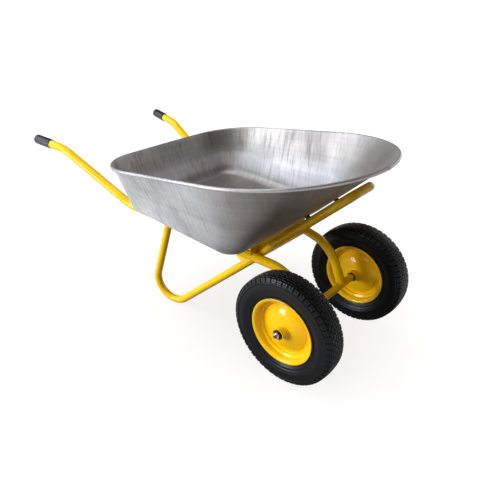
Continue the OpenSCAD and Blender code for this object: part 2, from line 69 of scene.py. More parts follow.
# Tubes: the main tubes run from the grips over the handle's bend and the knee to the strut's bend
TUBE_R = 16.0
LEG_R = 14.0
TUBE_WALL = 1.5
AXLE_SPAN_HALF = 107.0
HANDLE_HALF = 306.0
REACH = 1227.0
YAW = math.atan2(HANDLE_HALF - AXLE_SPAN_HALF, REACH)
GRIP_H = 505.0
HANDLE_BACK = 1069.0
HANDLE_H = 497.0
KNEE_BACK = 742.0
KNEE_H = 353.0
STRUT_BACK = 75.0
STRUT_H = 312.0
TUBE_BENDS = [200.0, 200.0, 140.0]
GRIP_R = 18.5
GRIP_LEN = 90.0
GRIP_DOME = 13.0
GRIP_END_WALL = 10.0
TUBE_SIDES = 48
LEG_SIDES = 44

# Legs: a round foot with an arm up to the main tube on each side of it
LEG_BACK = 542.0
LEG_FOOT_R = 78.0
LEG_REAR_TOP = 561.0
LEG_FRONT_TOP = 203.0
LEG_SPLAY = math.radians(2.0)
LEG_REAR_SHORT = 40
LEG_FRONT_SHORT = 60
FOOT_ROOM = 0.05
FOOT_STEPS = 64

# Welds
STRUT_WELD_R = 2.0
LEG_WELD_R = 2.2
HUB_WELD_W = 4.0
HUB_WELD_H = 2.6
WELD_WOBBLE = 0.12
WELD_RIPPLE = 0.16
WELD_RIPPLE_STEP = 2.1
WELD_SLANT = [0.31, 0.52, 0.79]

# Front loop
LOOP_BACK = 212.0
LOOP_LEN = 397.0
LOOP_TAIL = 16.0
LOOP_BEND = 38.0
LOOP_BORE = 30.0
LOOP_ANGLE = math.radians(45.8)

# Tray
FLOOR_H = 367.0
FLOOR_FRONT = 202.0
FLOOR_REAR = 705.0
FLOOR_HALF_W = 272.0
FLOOR_R = 62.0
FLOOR_INSET = 6.0
TRAY_DEPTH = 163.0
TRAY_TILT = math.radians(10.3)
TRAY_NOSE = 124.0
TRAY_REAR = 780.0
TRAY_REAR_R = 192.0
TRAY_HALF_W = 352.5
FILLET = 40.0
SHEET = 1.2
BEAD_R = 6.0
BEAD_SWEEP = 285

# Points along the sheet's section and stations round it, and the marks along the section: floor 0, lip 1,
# end of the roll 1.2, underside of the floor 2.2
FILLET_POINTS = 13
WALL_STEPS = 12
BEAD_POINTS = 25
NOSE_POINTS = 73
REAR_POINTS = 49
SIDE_STEPS = 14
REAR_STEPS = 12
NOSE_STEPS = 6
LIP_ROW = FILLET_POINTS + WALL_STEPS
ROLL_END = LIP_ROW + BEAD_POINTS - 1
OUTER_LOW = ROLL_END + WALL_STEPS
LAST_ROW = OUTER_LOW + FILLET_POINTS + 1
SHEET_ROWS = [0, 1, FILLET_POINTS, LIP_ROW, ROLL_END, ROLL_END + 1, OUTER_LOW, LAST_ROW - 1, LAST_ROW]
SHEET_MARKS = [0.0, 0.0, 0.12, 1.0, 1.2, 1.22, 2.05, 2.2, 2.2]

# Tread, by the length along the tyre's outline from the middle of the crown. The gaps of the blocks, lugs
# and sipes are shares of the pitch.
PITCHES = 54
PER_PITCH = 16
TREAD_LEN = 52
TREAD_STEP = 1.25
SIDE_STEP = 2.2
GROOVE_HALF = 0.9
GROOVE_DEPTH = 3.0
BLOCK_GAP = 0.05
BLOCK_DEPTH = 2.8
LUG_GAP = 0.075
LUG_DEPTH = 3.2
SIPE_GAP = 0.03
SIPE_DEPTH = 1.3
TYRE_HOLLOW_R = 118.0
TYRE_HOLLOW_HALF = 20.0

# Grooves round the tyre: place and swing
GROOVES = ((5.5, 2.0), (15.5, -2.5), (26.0, 2.0))

# Rows of blocks: start, end and shift of their gaps, then the start and end of the lugs and the sipes
BLOCKS = ((-9, 5.5, 0.0), (5.5, 15.5, 0.5), (15.5, 26.0, 0.0))
LUGS = (26.0, 47.0)
SIPES = (31.0, 41.0)

# Raised rings of the side: place, half width and rise
SIDE_RINGS = ((50.5, 1.3, 2.0), (66.0, 9.0, 0.4), (82.0, 1.0, 0.8), (93.0, 1.6, 1.2))


# Mesh helpers
def unit(v):
    return v / np.linalg.norm(v)


def unit_rows(rows):
    return rows / np.linalg.norm(rows, axis=1)[:, None]


def ray(a):
    return np.array([math.cos(a), math.sin(a)])


def round_angles(count):
    """Angles that divide a full turn."""
    return np.linspace(0, 2 * math.pi, count, endpoint=False)


def grid_faces(n, m, close_n, close_m):
    faces = []
    for i in range(n if close_n else n - 1):
        k = (i + 1) % n
        for j in range(m if close_m else m - 1):
            h = (j + 1) % m
            faces.append((i * m + j, k * m + j, k * m + h, i * m + h))
    return faces


class Shape:
    """Vertices and faces of several grids joined into one mesh."""

    def __init__(self):
        self.verts = []
        self.faces = []

    def grid(self, rows, close_n=False, close_m=False, cap_first=False, cap_last=False):
        rows = np.asarray(rows, float)
        n, m = rows.shape[:2]
        base = len(self.verts)
        self.verts.extend(rows.reshape(-1, 3).tolist())
        self.faces.extend(tuple(base + v for v in f) for f in grid_faces(n, m, close_n, close_m))
        if cap_first:
            self.faces.append(tuple(base + j for j in range(m)))
        if cap_last:
            self.faces.append(tuple(base + (n - 1) * m + j for j in range(m)))

    def join(self, other):
        base = len(self.verts)
        self.verts.extend(other.verts)
        self.faces.extend(tuple(base + v for v in f) for f in other.faces)

    def moved(self, change):
        other = Shape()
        other.verts = [change(v) for v in self.verts]
        other.faces = list(self.faces)
        return other


def outward(mesh):
    bm = bmesh.new()
    bm.from_mesh(mesh)
    bmesh.ops.recalc_face_normals(bm, faces=bm.faces)
    bm.to_mesh(mesh)
    bm.free()


def piece(name, shape, body, slot, replaced=(), sharp=35.0, flat=None):
    """A piece of the part that rides on a body and stands for the solids that it replaces."""
    mesh = bpy.data.meshes.new(name)
    mesh.from_pydata((np.asarray(shape.verts, float) * MM).tolist(), [], shape.faces)
    mesh.update()
    if flat is not None:
        layer = mesh.uv_layers.new(name="sheet")
        layer.data.foreach_set("uv", np.asarray(flat, float).ravel())
    outward(mesh)
    mesh.polygons.foreach_set("use_smooth", [True] * len(mesh.polygons))
    mesh.set_sharp_from_angle(angle=math.radians(sharp))
    obj = bpy.data.objects.new(name, mesh)
    bpy.context.scene.collection.objects.link(obj)
    mesh.materials.append(PAINT[slot])
    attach(obj, body)
    if replaced:
        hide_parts(*replaced)
    return obj


# Tube paths: straight runs joined by arcs, as centre points with directions in one plane
def bent_path(points, radii, stride=4.0):
    points = [np.array(p, float) for p in points]
    out = []
    last = points[0]
    for i in range(1, len(points) - 1):
        radius = radii[i - 1]
        a = unit(points[i] - points[i - 1])
        b = unit(points[i + 1] - points[i])
        turn = math.atan2(a[0] * b[1] - a[1] * b[0], float(a @ b))
        back = radius * math.tan(abs(turn) / 2)
        start = points[i] - back * a
        out += [(last, a), (start, a)]
        inward = math.copysign(1, turn) * np.array([-a[1], a[0]])
        middle = start + radius * inward
        arm = -radius * inward
        count = max(4, int(abs(turn) * radius / stride))
        for k in range(1, count):
            c, s = ray(turn * k / count)
            way = np.array([c * a[0] - s * a[1], s * a[0] + c * a[1]])
            out.append((middle + np.array([c * arm[0] - s * arm[1], s * arm[0] + c * arm[1]]), way))
        last = points[i] + back * b
        out.append((last, b))
    out.append((points[-1], unit(points[-1] - last)))
    return out


def ring(centre, way, r, sides):
    side = np.array([-way[1], way[0]])
    a = round_angles(sides)
    return np.c_[centre[0] + r * np.cos(a) * side[0], centre[1] + r * np.cos(a) * side[1], r * np.sin(a)]


def swept(path, r, sides):
    return [ring(centre, way, r, sides) for centre, way in path]


def tube_y(x):
    return AXLE_SPAN_HALF - x * math.tan(YAW)


def along(x):
    return x / math.cos(YAW)


def from_tube_plane(p):
    """Plane coordinates (along, up, towards the middle) to the frame of the part, on the left."""
    u, z, n = p
    x = AXLE_X + u * math.cos(YAW) - n * math.sin(YAW)
    y = AXLE_SPAN_HALF - u * math.sin(YAW) - n * math.cos(YAW)
    return (x, y, z)


def on_side(shape, sign):
    """A shape of the main tube's plane, placed on the left, or mirrored to the right."""
    placed = shape.moved(from_tube_plane)
    return placed if sign > 0 else placed.moved(lambda v: (v[0], -v[1], v[2]))


# Materials
def shader(name):
    material = bpy.data.materials.new(name)
    material.use_nodes = True
    tree = material.node_tree
    return material, tree, tree.nodes["Principled BSDF"]


def add(tree, kind, **values):
    node = tree.nodes.new(kind)
    for key, value in values.items():
        if key.startswith("in_"):
            node.inputs[key[3:].replace("_", " ")].default_value = value
        else:
            setattr(node, key, value)
    return node


def noise(tree, scale, detail=4.0, rough=0.55, stretch=(1, 1, 1), across="Object"):
    place = add(tree, "ShaderNodeTexCoord")
    mapping = add(tree, "ShaderNodeMapping", in_Scale=stretch)
    tree.links.new(place.outputs[across], mapping.inputs["Vector"])
    tex = add(tree, "ShaderNodeTexNoise", in_Scale=scale, in_Detail=detail, in_Roughness=rough)
    tree.links.new(mapping.outputs["Vector"], tex.inputs["Vector"])
    return tex.outputs["Fac"]


def ramp(tree, value, stops):
    node = add(tree, "ShaderNodeValToRGB")
    elements = node.color_ramp.elements
    while len(elements) < len(stops):
        elements.new(0.5)
    for element, (at, colour) in zip(elements, stops):
        element.position = at
        element.color = (*colour, 1.0)
    tree.links.new(value, node.inputs["Fac"])
    return node.outputs["Color"]


def spread(tree, value, low, high, start=0.3, end=0.7):
    node = add(tree, "ShaderNodeMapRange", in_From_Min=start, in_From_Max=end,
               in_To_Min=low, in_To_Max=high)
    tree.links.new(value, node.inputs["Value"])
    return node.outputs["Result"]


def maths(tree, kind, a, b):
    node = add(tree, "ShaderNodeMath", operation=kind)
    tree.links.new(a, node.inputs[0])
    tree.links.new(b, node.inputs[1])
    return node.outputs["Value"]


def parts_of(tree, vector):
    """Splits a vector into X, Y and Z."""
    node = add(tree, "ShaderNodeSeparateXYZ")
    tree.links.new(vector, node.inputs["Vector"])
    return node.outputs


def multiplied(tree, a, b, factor):
    node = add(tree, "ShaderNodeMix", data_type="RGBA", blend_type="MULTIPLY")
    node.inputs[0].default_value = factor
    tree.links.new(a, node.inputs[6])
    tree.links.new(b, node.inputs[7])
    return node.outputs[2]


def bump(tree, bsdf, height, strength, distance, under=None):
    node = add(tree, "ShaderNodeBump", in_Strength=strength, in_Distance=distance)
    tree.links.new(height, node.inputs["Height"])
    if under is not None:
        tree.links.new(under, node.inputs["Normal"])
    tree.links.new(node.outputs["Normal"], bsdf.inputs["Normal"])
    return node.outputs["Normal"]


def yellow_paint():
    """Glossy yellow powder coat."""
    material, tree, bsdf = shader("yellow_paint")
    colour = ramp(tree, noise(tree, 9.0, 3.0), [(0.3, (0.92, 0.565, 0.0)), (0.7, (0.97, 0.615, 0.0))])
    tree.links.new(colour, bsdf.inputs["Base Color"])
    tree.links.new(spread(tree, noise(tree, 60.0), 0.26, 0.38), bsdf.inputs["Roughness"])
    bsdf.inputs["Specular IOR Level"].default_value = 0.06
    bsdf.inputs["Coat Weight"].default_value = 0.42
    bsdf.inputs["Coat Roughness"].default_value = 0.11
    bump(tree, bsdf, noise(tree, 160.0, 2.0), strength=0.02, distance=0.0005)
    return material


# Tones of the sheet along its section, with its marks as shares of the whole
CLEAN = (1.0, 1.0, 1.0)
# Painted shade: the floor of the sheet is darker and browner than the walls
FLOOR_SHADE_TONES = [(0.00, (0.44, 0.41, 0.38)), (0.05, (0.62, 0.60, 0.58))]
LOWER_TONES = [(0.10, (0.98, 0.99, 1.0)), (0.19, CLEAN)]
UPPER_TONES = [(0.235, (0.74, 0.73, 0.72)), (0.30, (0.60, 0.575, 0.55)), (0.43, (0.56, 0.53, 0.51))]
ROLL_TONES = [(0.465, (0.60, 0.595, 0.59)), (0.53, (0.56, 0.555, 0.55))]
OUTER_TONES = [(0.56, (0.68, 0.68, 0.69)), (0.75, (0.70, 0.70, 0.71)), (0.775, (0.65, 0.65, 0.66)),
               (0.80, (0.71, 0.715, 0.72)), (1.00, (0.67, 0.68, 0.695))]
SHEET_TONES = FLOOR_SHADE_TONES + LOWER_TONES + UPPER_TONES + ROLL_TONES + OUTER_TONES
# Painted shade: a dark line in the crevice under the rolled rim
RIM_CREVICE_SHADE_TONES = [(0.535, CLEAN), (0.545, (0.16, 0.15, 0.15)), (0.556, (0.2, 0.2, 0.2)), (0.575, CLEAN)]

# Tones of the draw marks, and of the painted shade on the outside of the front
DRAW_TONES = [(0.30, (0.42, 0.41, 0.40)), (0.47, (0.92, 0.92, 0.92)), (0.75, CLEAN)]
FRONT_SHADE_TONES = [(0.0, CLEAN), (1.0, (0.42, 0.37, 0.33))]


def zinc_sheet():
    """Galvanised sheet: draw marks square to the rim, a bright lower band and a duller upper one inside, a
    floor painted darker as painted shade, a dark line of painted shade under the rolled rim, and painted
    shade on the outside of the front."""
    material, tree, bsdf = shader("zinc_sheet")
    fine = noise(tree, 1.0, detail=5.0, rough=0.6, stretch=(420, 4, 1), across="UV")
    draw = noise(tree, 1.0, detail=4.0, rough=0.6, stretch=(110, 1.8, 1), across="UV")
    ridge = noise(tree, 1.0, detail=3.0, rough=0.5, stretch=(2.5, 16, 1), across="UV")
    waver = noise(tree, 1.0, detail=3.0, rough=0.5, stretch=(4, 0.4, 1), across="UV")
    cloud = noise(tree, 5.0, 5.0)
    place = add(tree, "ShaderNodeTexCoord")
    section = parts_of(tree, place.outputs["UV"])["Y"]
    mark = spread(tree, section, 0.0, 1.0, start=0.0, end=SHEET_MARKS[-1])
    drift = maths(tree, "ADD", mark, spread(tree, waver, -0.014, 0.014))
    forward = parts_of(tree, place.outputs["Object"])["X"]
    front = spread(tree, forward, 0.0, 1.0, start=0.20, end=0.44)
    outside = spread(tree, mark, 0.0, 1.0, start=0.48, end=0.55)
    # Painted shade on the outside of the front, growing towards the nose
    front_shade = maths(tree, "MULTIPLY", front, outside)
    draw = maths(tree, "ADD", draw, spread(tree, front, 0.0, 0.13, start=0.0, end=1.0))
    base = ramp(tree, cloud, [(0.36, (0.58, 0.60, 0.635)), (0.64, (0.88, 0.91, 0.95))])
    hairs = ramp(tree, fine, [(0.3, (0.76, 0.76, 0.76)), (0.62, CLEAN)])
    lines = ramp(tree, ridge, [(0.35, (0.88, 0.88, 0.89)), (0.6, CLEAN)])
    colour = multiplied(tree, base, ramp(tree, draw, DRAW_TONES), 0.65)
    colour = multiplied(tree, colour, hairs, 0.7)
    colour = multiplied(tree, colour, lines, 0.6)
    colour = multiplied(tree, colour, ramp(tree, drift, SHEET_TONES), 1.0)
    # Painted shade in the crevice under the rolled rim
    colour = multiplied(tree, colour, ramp(tree, mark, RIM_CREVICE_SHADE_TONES), 1.0)
    colour = multiplied(tree, colour, ramp(tree, front_shade, FRONT_SHADE_TONES), 1.0)
    tree.links.new(colour, bsdf.inputs["Base Color"])
    bsdf.inputs["Metallic"].default_value = 1.0
    tree.links.new(spread(tree, draw, 0.58, 0.45), bsdf.inputs["Roughness"])
    soft = bump(tree, bsdf, noise(tree, 3.5, 2.0), strength=0.25, distance=0.004)
    ribs = bump(tree, bsdf, ridge, strength=0.10, distance=0.0012, under=soft)
    bump(tree, bsdf, fine, strength=0.08, distance=0.0005, under=ribs)
    return material


def rubber(name, dark, light, rough, grain, strength, shine):
    """Black rubber or plastic with a faint grain."""
    material, tree, bsdf = shader(name)
    colour = ramp(tree, noise(tree, 14.0, 5.0), [(0.3, dark), (0.75, light)])
    tree.links.new(colour, bsdf.inputs["Base Color"])
    tree.links.new(spread(tree, noise(tree, 40.0), *rough), bsdf.inputs["Roughness"])
    bsdf.inputs["Specular IOR Level"].default_value = shine
    bsdf.inputs["Specular Tint"].default_value = (0.82, 0.91, 1.0, 1)
    bump(tree, bsdf, noise(tree, grain, 3.0), strength, distance=0.0006)
    return material


def steel(name, low, high, rough):
    """Plain steel with a fine grain."""
    material, tree, bsdf = shader(name)
    colour = ramp(tree, noise(tree, 120.0, 5.0), [(0.3, low), (0.7, high)])
    tree.links.new(colour, bsdf.inputs["Base Color"])
    bsdf.inputs["Metallic"].default_value = 1.0
    tree.links.new(spread(tree, noise(tree, 200.0), rough - 0.06, rough + 0.1), bsdf.inputs["Roughness"])
    bump(tree, bsdf, noise(tree, 500.0, 2.0), strength=0.08, distance=0.0003)
    return material


PAINT = {
    "yellow_paint": yellow_paint(),
    "zinc_sheet": zinc_sheet(),
    "tyre_rubber": rubber("tyre_rubber", dark=(0.0015, 0.0015, 0.002), light=(0.004, 0.004, 0.005),
                          rough=(0.28, 0.42), grain=260.0, strength=0.05, shine=0.22),
    "tube_rubber": rubber("tube_rubber", dark=(0.012, 0.012, 0.012), light=(0.02, 0.02, 0.02),
                          rough=(0.55, 0.7), grain=300.0, strength=0.1, shine=0.3),
    "black_plastic": rubber("black_plastic", dark=(0.010, 0.010, 0.011), light=(0.018, 0.018, 0.020),
                            rough=(0.32, 0.42), grain=300.0, strength=0.05, shine=0.45),
    "bright_steel": steel("bright_steel", low=(0.55, 0.55, 0.57), high=(0.72, 0.72, 0.74), rough=0.22),
    "dark_steel": steel("dark_steel", low=(0.05, 0.05, 0.055), high=(0.09, 0.09, 0.095), rough=0.35),
}
for sub in frame["record"]["subparts"]:
    mesh = frame["nodes"][sub["node"]].data
    mesh.materials.clear()
    mesh.materials.append(PAINT[sub["material_slot"]])


# Tray
def between(first, last, count):
    """Stations that divide a straight stretch, without its ends."""
    return [tuple(a + (b - a) * k / count for a, b in zip(first, last)) for k in range(1, count)]


def corner(floor_centre, rim_centre, rim_r, start, count):
    """Stations round a corner: a point of the floor's edge, one of the rim, and the way out."""
    angles = np.radians(np.linspace(start, start + 90, count))
    return [(floor_centre + FLOOR_R * ray(a), rim_centre + rim_r * ray(a), ray(a)) for a in angles]


def tray_stations():
    """Stations round the tray, from its nose over the left side and the rear to the right side."""
    floor_y = FLOOR_HALF_W - FLOOR_R
    front = corner(np.array([-FLOOR_FRONT - FLOOR_R, floor_y]), np.array([TRAY_NOSE - TRAY_HALF_W, 0]),
                   TRAY_HALF_W, 0, NOSE_POINTS)
    rear = corner(np.array([-FLOOR_REAR + FLOOR_R, floor_y]),
                  np.array([-TRAY_REAR + TRAY_REAR_R, TRAY_HALF_W - TRAY_REAR_R]),
                  TRAY_REAR_R, 90, REAR_POINTS)
    left = front + between(front[-1], rear[0], SIDE_STEPS) + rear
    right = [tuple(v * [1, -1] for v in station) for station in reversed(left)]
    across_rear = between(left[-1], right[0], REAR_STEPS)
    across_nose = between(right[-1], left[0], NOSE_STEPS)
    return left + across_rear + right + across_nose


def blend_curve(start, corner_point, end, weight):
    """A conic from start to end whose ends run towards the corner point."""
    out = []
    for t in np.linspace(0, 1, FILLET_POINTS):
        k = np.array([(1 - t) ** 2, 2 * t * (1 - t) * weight, t * t])
        out.append((k[0] * start + k[1] * corner_point + k[2] * end) / k.sum())
    return out


def tray_section(floor_point, rim_point, way_out):
    """Points of the sheet's section from the floor over the rolled rim to the underside of the floor."""
    reach = np.linalg.norm(rim_point - floor_point)
    plan = (rim_point - floor_point) / reach
    slope = math.atan2(TRAY_DEPTH + math.tan(TRAY_TILT) * (rim_point[0] + TRAY_REAR), reach)
    up = np.append(plan * math.cos(slope), math.sin(slope))
    out = np.append(plan * math.sin(slope), -math.cos(slope))
    back = FILLET * math.tan(slope / 2)
    edge = np.append(floor_point, 0.0)
    level_out = np.append(way_out, 0)
    weight = math.cos(slope / 2)
    outer = blend_curve(edge - back * level_out, edge, edge + back * up, weight)
    lift = np.array([0, 0, SHEET])
    fold = edge - SHEET * math.tan(slope / 2) * np.append(plan, 0) + lift
    inner = blend_curve(outer[0] + lift, fold, outer[-1] - SHEET * out, weight)
    inset = edge - (back + FLOOR_INSET) * level_out
    top = edge + reach / math.cos(slope) * up
    lip = top - SHEET * out
    middle = lip + BEAD_R * out
    bead = [middle + BEAD_R * (math.sin(a) * up - math.cos(a) * out)
            for a in np.radians(np.linspace(0, BEAD_SWEEP, BEAD_POINTS))]
    wall_in = [inner[-1] + (lip - inner[-1]) * k / WALL_STEPS for k in range(1, WALL_STEPS)]
    wall_out = [top + (outer[-1] - top) * k / WALL_STEPS for k in range(0, WALL_STEPS)]
    return [inset + lift] + inner + wall_in + bead + wall_out + outer[::-1] + [inset]


def tray():
    origin = np.array([AXLE_X, 0, FLOOR_H])
    rows = np.array([np.array(tray_section(*station)) + origin for station in tray_stations()])
    shape = Shape()
    shape.grid(rows, close_n=True)
    n, m = rows.shape[:2]
    shape.faces.append(tuple(i * m for i in range(n)))
    shape.faces.append(tuple(i * m + m - 1 for i in range(n)))

    # Flat places on the sheet: the way round the lip, and the marks along the section
    lip = rows[:, LIP_ROW]
    ahead = np.roll(lip, -1, axis=0)
    way = unit_rows(ahead - np.roll(lip, 1, axis=0))
    around = np.r_[0, np.cumsum(np.linalg.norm(ahead - lip, axis=1))]
    down = np.interp(np.arange(m), SHEET_ROWS, SHEET_MARKS)
    slide = np.einsum("nmk,nk->nm", rows - lip[:, None], way)
    grain = [1.0, 0.4, 0.0]
    flat = []
    for face in shape.faces:
        if len(face) > 4:
            level = down[0] if face[0] % m == 0 else down[-1]
            flat += [((rows[v // m, v % m] @ grain) * MM, level) for v in face]
            continue
        for v in face:
            i, j = v // m, v % m
            start = around[n] if face[1] < face[0] and i == 0 else around[i]
            flat.append(((start + slide[i, j]) * MM, down[j]))
    piece("tray_drawn", shape, "frame", "zinc_sheet", ["tray"], 60, flat)


tray()

# Main tubes, legs and welds, in the plane of the main tube
GRIP_END = np.array([along(-REACH), GRIP_H])
HANDLE = np.array([along(-HANDLE_BACK), HANDLE_H])
KNEE = np.array([along(-KNEE_BACK), KNEE_H])
STRUT = np.array([along(-STRUT_BACK), STRUT_H])
HANDLE_WAY = unit(HANDLE - GRIP_END)
RUN_WAY = unit(STRUT - KNEE)
RUN_PITCH = math.atan2(RUN_WAY[1], RUN_WAY[0])


def run_at(x):
    """Height of the main tube's straight run."""
    return KNEE_H + (STRUT_H - KNEE_H) * (x + KNEE_BACK) / (KNEE_BACK - STRUT_BACK)


def weld(shape, loop, r, seed):
    """A bead of weld with small ripples along a closed loop of points."""
    loop = np.asarray(loop)
    n = len(loop)
    wobble = np.random.default_rng(seed).normal(0, WELD_WOBBLE, n)
    a = round_angles(8)
    rows = []
    for i in range(n):
        way = unit(loop[(i + 1) % n] - loop[i - 1])
        side = unit(np.cross(way, WELD_SLANT))
        other = np.cross(way, side)
        bead_r = r * (1 + WELD_RIPPLE * math.sin(i * WELD_RIPPLE_STEP) + wobble[i])
        rows.append(loop[i] + bead_r * (np.outer(np.cos(a), side) + np.outer(np.sin(a), other)))
    shape.grid(rows, close_n=True, close_m=True)


def main_tube():
    """The bent tube, its strut cut level on the axle bar, and the weld there."""
    start = GRIP_END + GRIP_END_WALL * HANDLE_WAY
    path = bent_path([start, HANDLE, KNEE, STRUT, np.array([0.0, AXLE_H])], TUBE_BENDS)
    rows = swept(path, TUBE_R, TUBE_SIDES)
    way = path[-1][1]
    level = AXLE_H + AXLE_BAR_HALF + SEAT
    foot = rows[-1].copy()
    foot[:, :2] += np.outer((level - foot[:, 1]) / way[1], way)
    above = level + 6
    near = rows[-2].copy()
    near[:, :2] += np.outer((above - near[:, 1]) / way[1], way)
    shape = Shape()
    shape.grid(rows[:-1] + [near, foot], close_m=True, cap_first=True, cap_last=True)
    beads = Shape()
    weld(beads, foot + [0, 0.2, 0], STRUT_WELD_R, 3)
    return shape, beads


def to_run(points, way):
    """Slides points along way until they meet the main tube's round side."""
    out = []
    d = np.append(way, 0)
    axis = np.append(RUN_WAY, 0)
    for p in points:
        rel = p - np.append(KNEE, 0)
        a = rel - axis * (rel @ axis)
        b = d - axis * (d @ axis)
        qa = b @ b
        qb = 2 * a @ b
        qc = a @ a - (TUBE_R + 0.1) ** 2
        s = (-qb - math.sqrt(max(qb * qb - 4 * qa * qc, 0))) / (2 * qa)
        out.append(p + d * s)
    return np.array(out)


def leg():
    """A leg with its round foot, splayed about the main tube, and its two welds."""
    lift = (run_at(-LEG_BACK) - LEG_R) * (1 / math.cos(LEG_SPLAY) - 1)
    middle = np.array([along(-LEG_BACK), LEG_FOOT_R + LEG_R + FOOT_ROOM - lift])
    tops = [np.array([along(x), run_at(x)]) for x in (-LEG_REAR_TOP, -LEG_FRONT_TOP)]
    angles = []
    for top, side in zip(tops, (1, -1)):
        v = top - middle
        angles.append(math.atan2(v[1], v[0]) + side * math.acos(LEG_FOOT_R / np.linalg.norm(v)))
    if angles[1] < angles[0]:
        angles[1] += 2 * math.pi
    feet = [middle + LEG_FOOT_R * ray(a) for a in angles]
    first = unit(feet[0] - tops[0])
    last = unit(tops[1] - feet[1])
    path = [(tops[0] + first * LEG_REAR_SHORT, first)]
    for a in np.linspace(angles[0], angles[1], FOOT_STEPS):
        path.append((middle + LEG_FOOT_R * ray(a), np.array([-math.sin(a), math.cos(a)])))
    path.append((tops[1] - last * LEG_FRONT_SHORT, last))
    rows = swept(path, LEG_R, LEG_SIDES)
    head = to_run(rows[0], -first)
    tail = to_run(rows[-1], last)
    to_knee = Matrix.Translation((-KNEE[0], -KNEE[1], 0))
    to_level = Matrix.Rotation(-RUN_PITCH, 4, "Z")
    from_level = Matrix.Rotation(RUN_PITCH, 4, "Z")
    from_knee = Matrix.Translation((KNEE[0], KNEE[1], 0))
    turn = np.array(from_knee @ from_level @ Matrix.Rotation(LEG_SPLAY, 4, "X") @ to_level @ to_knee)

    def leaned(points):
        return np.asarray(points) @ turn[:3, :3].T + turn[:3, 3]

    shape = Shape()
    shape.grid([leaned(r) for r in [head] + rows + [tail]], close_m=True, cap_first=True, cap_last=True)
    beads = Shape()
    weld(beads, leaned(head), LEG_WELD_R, 5)
    weld(beads, leaned(tail), LEG_WELD_R, 6)
    return shape, beads


tube_shape, tube_beads = main_tube()
leg_shape, leg_beads = leg()
for side, sign in SIDES:
    piece(side + "_main_tube_bent", on_side(tube_shape, sign), "frame", "yellow_paint",
          [side + "_main_tube"], 50)
    piece(side + "_leg_bent", on_side(leg_shape, sign), "frame", "yellow_paint", [side + "_leg"], 50)
    piece(side + "_strut_weld", on_side(tube_beads, sign), "frame", "yellow_paint")
    piece(side + "_leg_welds", on_side(leg_beads, sign), "frame", "yellow_paint")


# Front loop
def loop_half_at(at):
    """Half the loop's width at a length along its arms."""
    start = tube_y(-LOOP_BACK) - (TUBE_R + LEG_R + SEAT) / math.cos(YAW)
    return start - at * math.cos(LOOP_ANGLE) * math.tan(YAW)


def on_loop(p):
    c, s = math.cos(LOOP_ANGLE), math.sin(LOOP_ANGLE)
    return (AXLE_X - LOOP_BACK + p[0] * c - p[2] * s, p[1], run_at(-LOOP_BACK) + p[0] * s + p[2] * c)


def front_loop():
    """A bent tube with open ends."""
    low_half = loop_half_at(-LOOP_TAIL)
    high_half = loop_half_at(LOOP_LEN)
    corners = [(-LOOP_TAIL, -low_half), (LOOP_LEN, -high_half),
               (LOOP_LEN, high_half), (-LOOP_TAIL, low_half)]
    path = bent_path(corners, [LOOP_BEND, LOOP_BEND], 3.0)
    bore_r = LEG_R - TUBE_WALL
    bores = []
    for (centre, way), deep in ((path[0], LOOP_BORE), (path[-1], -LOOP_BORE)):
        bores.append(swept([(centre, way), (centre + deep * way, way)], bore_r, LEG_SIDES))
    shape = Shape()
    shape.grid(bores[0][::-1] + swept(path, LEG_R, LEG_SIDES) + bores[1],
               close_m=True, cap_first=True, cap_last=True)
    piece("front_loop_bent", shape.moved(on_loop), "frame", "yellow_paint", ["front_loop"], 50)


front_loop()


# Wheels
def about_axle(sign, start=0.0):
    """Places (radius, width outwards, angle) about the axle, on the left for 1 and on the right for -1."""

    def place(p):
        r, w, a = p
        return (AXLE_X + r * math.cos(a), sign * (start + w), AXLE_H + r * math.sin(a))
    return place


def lathe(profile, steps, closed=True):
    """Points (radius, width, angle) for a profile turned about the axle."""
    shape = Shape()
    shape.grid([[(r, w, a) for r, w in profile] for a in round_angles(steps)], close_n=True, close_m=closed)
    return shape


def rounded(line, radius, steps):
    """Eases the corners of an open line."""
    line = [np.array(p, float) for p in line]
    out = [line[0]]
    for i in range(1, len(line) - 1):
        a, b = line[i - 1] - line[i], line[i + 1] - line[i]
        la, lb = np.linalg.norm(a), np.linalg.norm(b)
        cut = min(radius, 0.45 * la, 0.45 * lb)
        p, q = line[i] + a / la * cut, line[i] + b / lb * cut
        for k in range(steps + 1):
            t = k / steps
            out.append((1 - t) ** 2 * p + 2 * t * (1 - t) * line[i] + t * t * q)
    out.append(line[-1])
    return out


def rim_profile():
    """Section of one pressed half: curled flange, seat, well, face and dome down to the hub."""
    seat_w, well_drop, well_slope, ring_h = 6.0, 10.0, 4.0, 10.0
    dome_power, ease, tip_out = 0.8, 2.6, 0.9
    curl = FLANGE + RIM_T
    bead_r = RIM_R - FLANGE
    well_r = bead_r - RIM_T - well_drop
    ring_r = well_r - ring_h
    seat_end = RIM_HALF - FLANGE - RIM_T - seat_w
    face = RIM_T + 0.02
    low = HUB_R + 0.02
    line = [(RIM_R - curl * math.sin(a), RIM_HALF - curl * (1 - math.cos(a)))
            for a in np.radians(np.linspace(0, 90, 13))]
    line += [(bead_r - RIM_T, seat_end), (well_r, seat_end - well_slope), (well_r, face)]
    for k in np.linspace(0, 1, 25):
        dome = DOME_H * math.sin(math.pi / 2 * k ** dome_power)
        line.append((ring_r + k * (low - ring_r), face + dome))
    line = np.array(rounded(line, ease, 4))
    way = unit_rows(np.gradient(line, axis=0))
    back = line + RIM_T * np.c_[-way[:, 1], way[:, 0]]
    tip = [line[0] + (back[0] - line[0]) * 0.5 + way[0] * -tip_out]
    return np.vstack([tip, line, back[::-1]])


